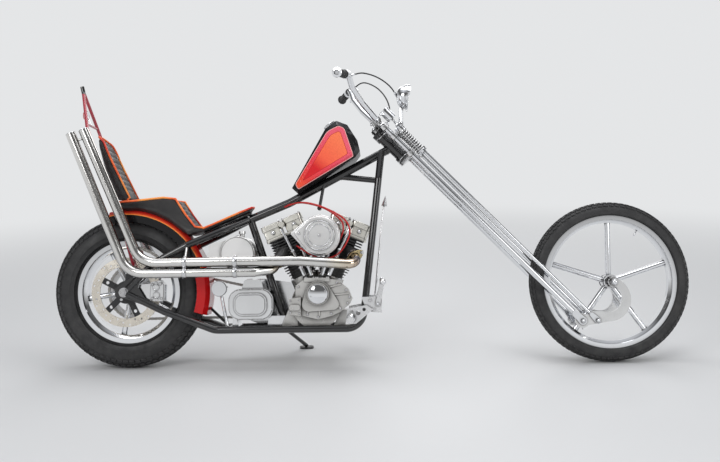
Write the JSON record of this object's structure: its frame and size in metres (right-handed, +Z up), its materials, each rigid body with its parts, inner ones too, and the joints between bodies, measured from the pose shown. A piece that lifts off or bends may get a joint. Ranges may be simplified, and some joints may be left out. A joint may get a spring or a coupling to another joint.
{
  "type": "chopper motorcycle",
  "caption": "Long-forked custom motorcycle with rigid frame, leading-link fork, V engine, tall back pad and upswept exhausts, parked on its side stand.",
  "frame": {"origin": "middle of the parked machine's bounding box, on the ground", "axes": "+X forward, +Y to the rider's left, +Z up; the machine leans to its left on its side stand"},
  "size_m": [2.6999, 0.7554, 1.2475],
  "materials": {
    "tyre_rubber": "matt",
    "chrome": "mirror bright",
    "black_paint": "gloss black",
    "polished": "polished",
    "cast": "satin cast",
    "black_fins": "satin black",
    "steel": "brushed",
    "tank_paint": "candy red and orange on black",
    "leather": "black, red piping",
    "red_paint": "candy red",
    "disc_steel": "ground",
    "rubber": "matt",
    "red_wire": "satin red",
    "clear_glass": "clear"
  },
  "bodies": {
    "frame": {"rear_axle": "steel", "frame_backbone": "black_paint", "frame_right": "black_paint", "frame_left": "black_paint", "engine_cases": "cast", "cylinders": "black_fins", "rocker_boxes": "cast", "air_cleaner": "polished", "carburettor": "cast", "pushrod_tubes": "chrome", "gearbox": "polished", "drive_cover": "polished", "drive_chain": "steel", "oil_tank": "polished", "exhaust_pipes": "chrome", "fuel_tank": "tank_paint", "fuel_cap": "chrome", "seat": "leather", "back_pad": "leather", "sissy_bar": "red_paint", "rear_fender": "tank_paint", "foot_controls": "polished", "brake_caliper": "polished", "plug_wires": "red_wire", "oil_filter": "polished", "tail_lamp": "chrome"},
    "fork": {"fork_trees": "chrome", "rear_legs": "chrome", "front_legs": "chrome", "front_axle": "steel", "rockers": "polished", "springs": "chrome", "handlebar": "chrome", "headlamp": "chrome", "grips": "rubber", "headlamp_lens": "clear_glass", "speedometer": "chrome", "cables": "rubber"},
    "front_wheel_set": {"front_tyre": "tyre_rubber", "front_wheel": "chrome"},
    "rear_wheel_set": {"rear_tyre": "tyre_rubber", "rear_wheel": "chrome", "brake_disc": "disc_steel", "rear_sprocket": "steel"},
    "stand": {"side_stand": "black_paint"}
  },
  "joints": [
    {"name": "steering", "type": "hinge", "parent": "frame", "child": "fork", "pos_m": [0.1, 0.01393, 0.91338], "axis": [-0.7022, 0.1261, 0.7008], "range_deg": [-30, 30]},
    {"name": "front_wheel_turn", "type": "hinge", "parent": "fork", "child": "front_wheel_set", "pos_m": [1.012, -0.09037, 0.33369], "axis": [0, 0.9842, -0.1771], "continuous": true},
    {"name": "rear_wheel_turn", "type": "hinge", "parent": "frame", "child": "rear_wheel_set", "pos_m": [-1.028, -0.0932, 0.31794], "axis": [0, 0.9842, -0.1771], "continuous": true},
    {"name": "stand_fold", "type": "hinge", "parent": "frame", "child": "stand", "pos_m": [-0.388, 0.02594, 0.12174], "axis": [0.088, 0.6886, 0.7198], "range_deg": [0, 113]}
  ]
}
